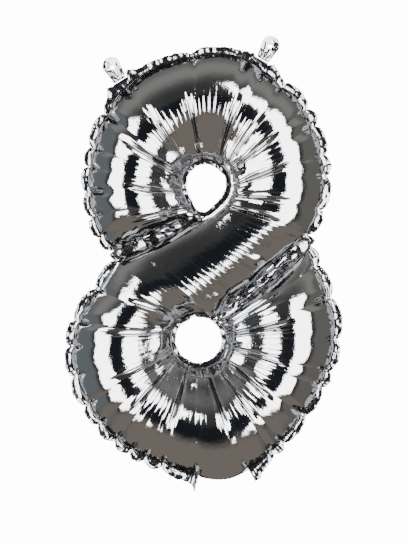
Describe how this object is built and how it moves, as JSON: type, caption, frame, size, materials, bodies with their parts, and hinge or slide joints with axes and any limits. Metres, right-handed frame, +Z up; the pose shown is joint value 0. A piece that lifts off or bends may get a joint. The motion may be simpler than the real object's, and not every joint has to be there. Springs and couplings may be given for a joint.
{
  "type": "foil number balloon",
  "caption": "Silver foil balloon in the shape of an 8, inflated, with a scalloped welded hem, punched hang tabs and a folded fill neck.",
  "frame": {"origin": "midway between the punched holes of the two hang tabs, where a ribbon through both tabs carries the balloon", "axes": "+Z up to the top of the 8, +X to the right as the 8 is read from the front, +Y to the back"},
  "size_m": [0.229, 0.0637, 0.3726],
  "materials": {
    "silver_foil": "mirror-bright metallised film, creased",
    "welded_foil": "bright metallised film with a fine heat-seal crinkle",
    "valve_plastic": "clear thin film"
  },
  "bodies": {
    "envelope": {"front_panel": "silver_foil", "rear_panel": "silver_foil", "outer_weld_hem": "welded_foil", "upper_eye_weld": "welded_foil", "lower_eye_weld": "welded_foil", "left_waist_weld": "welded_foil", "right_waist_weld": "welded_foil", "valve_film_front": "valve_plastic", "valve_film_rear": "valve_plastic"},
    "left_tab": {"left_hang_tab": "welded_foil"},
    "right_tab": {"right_hang_tab": "welded_foil"},
    "fill_neck": {"fill_neck_front_ply": "silver_foil", "fill_neck_rear_ply": "silver_foil"}
  },
  "joints": [
    {"name": "left_tab_fold", "type": "hinge", "parent": "envelope", "child": "left_tab", "pos_m": [-0.0588, 0, -0.01935], "axis": [0.8524, 0, 0.523], "range_deg": [-85, 85]},
    {"name": "right_tab_fold", "type": "hinge", "parent": "envelope", "child": "right_tab", "pos_m": [0.05931, 0, -0.00225], "axis": [0.876, 0, -0.4823], "range_deg": [-85, 85]},
    {"name": "neck_fold", "type": "hinge", "parent": "envelope", "child": "fill_neck", "pos_m": [0.02773, 0, -0.35154], "axis": [-0.9915, 0, -0.1305], "range_deg": [0, 190]}
  ]
}
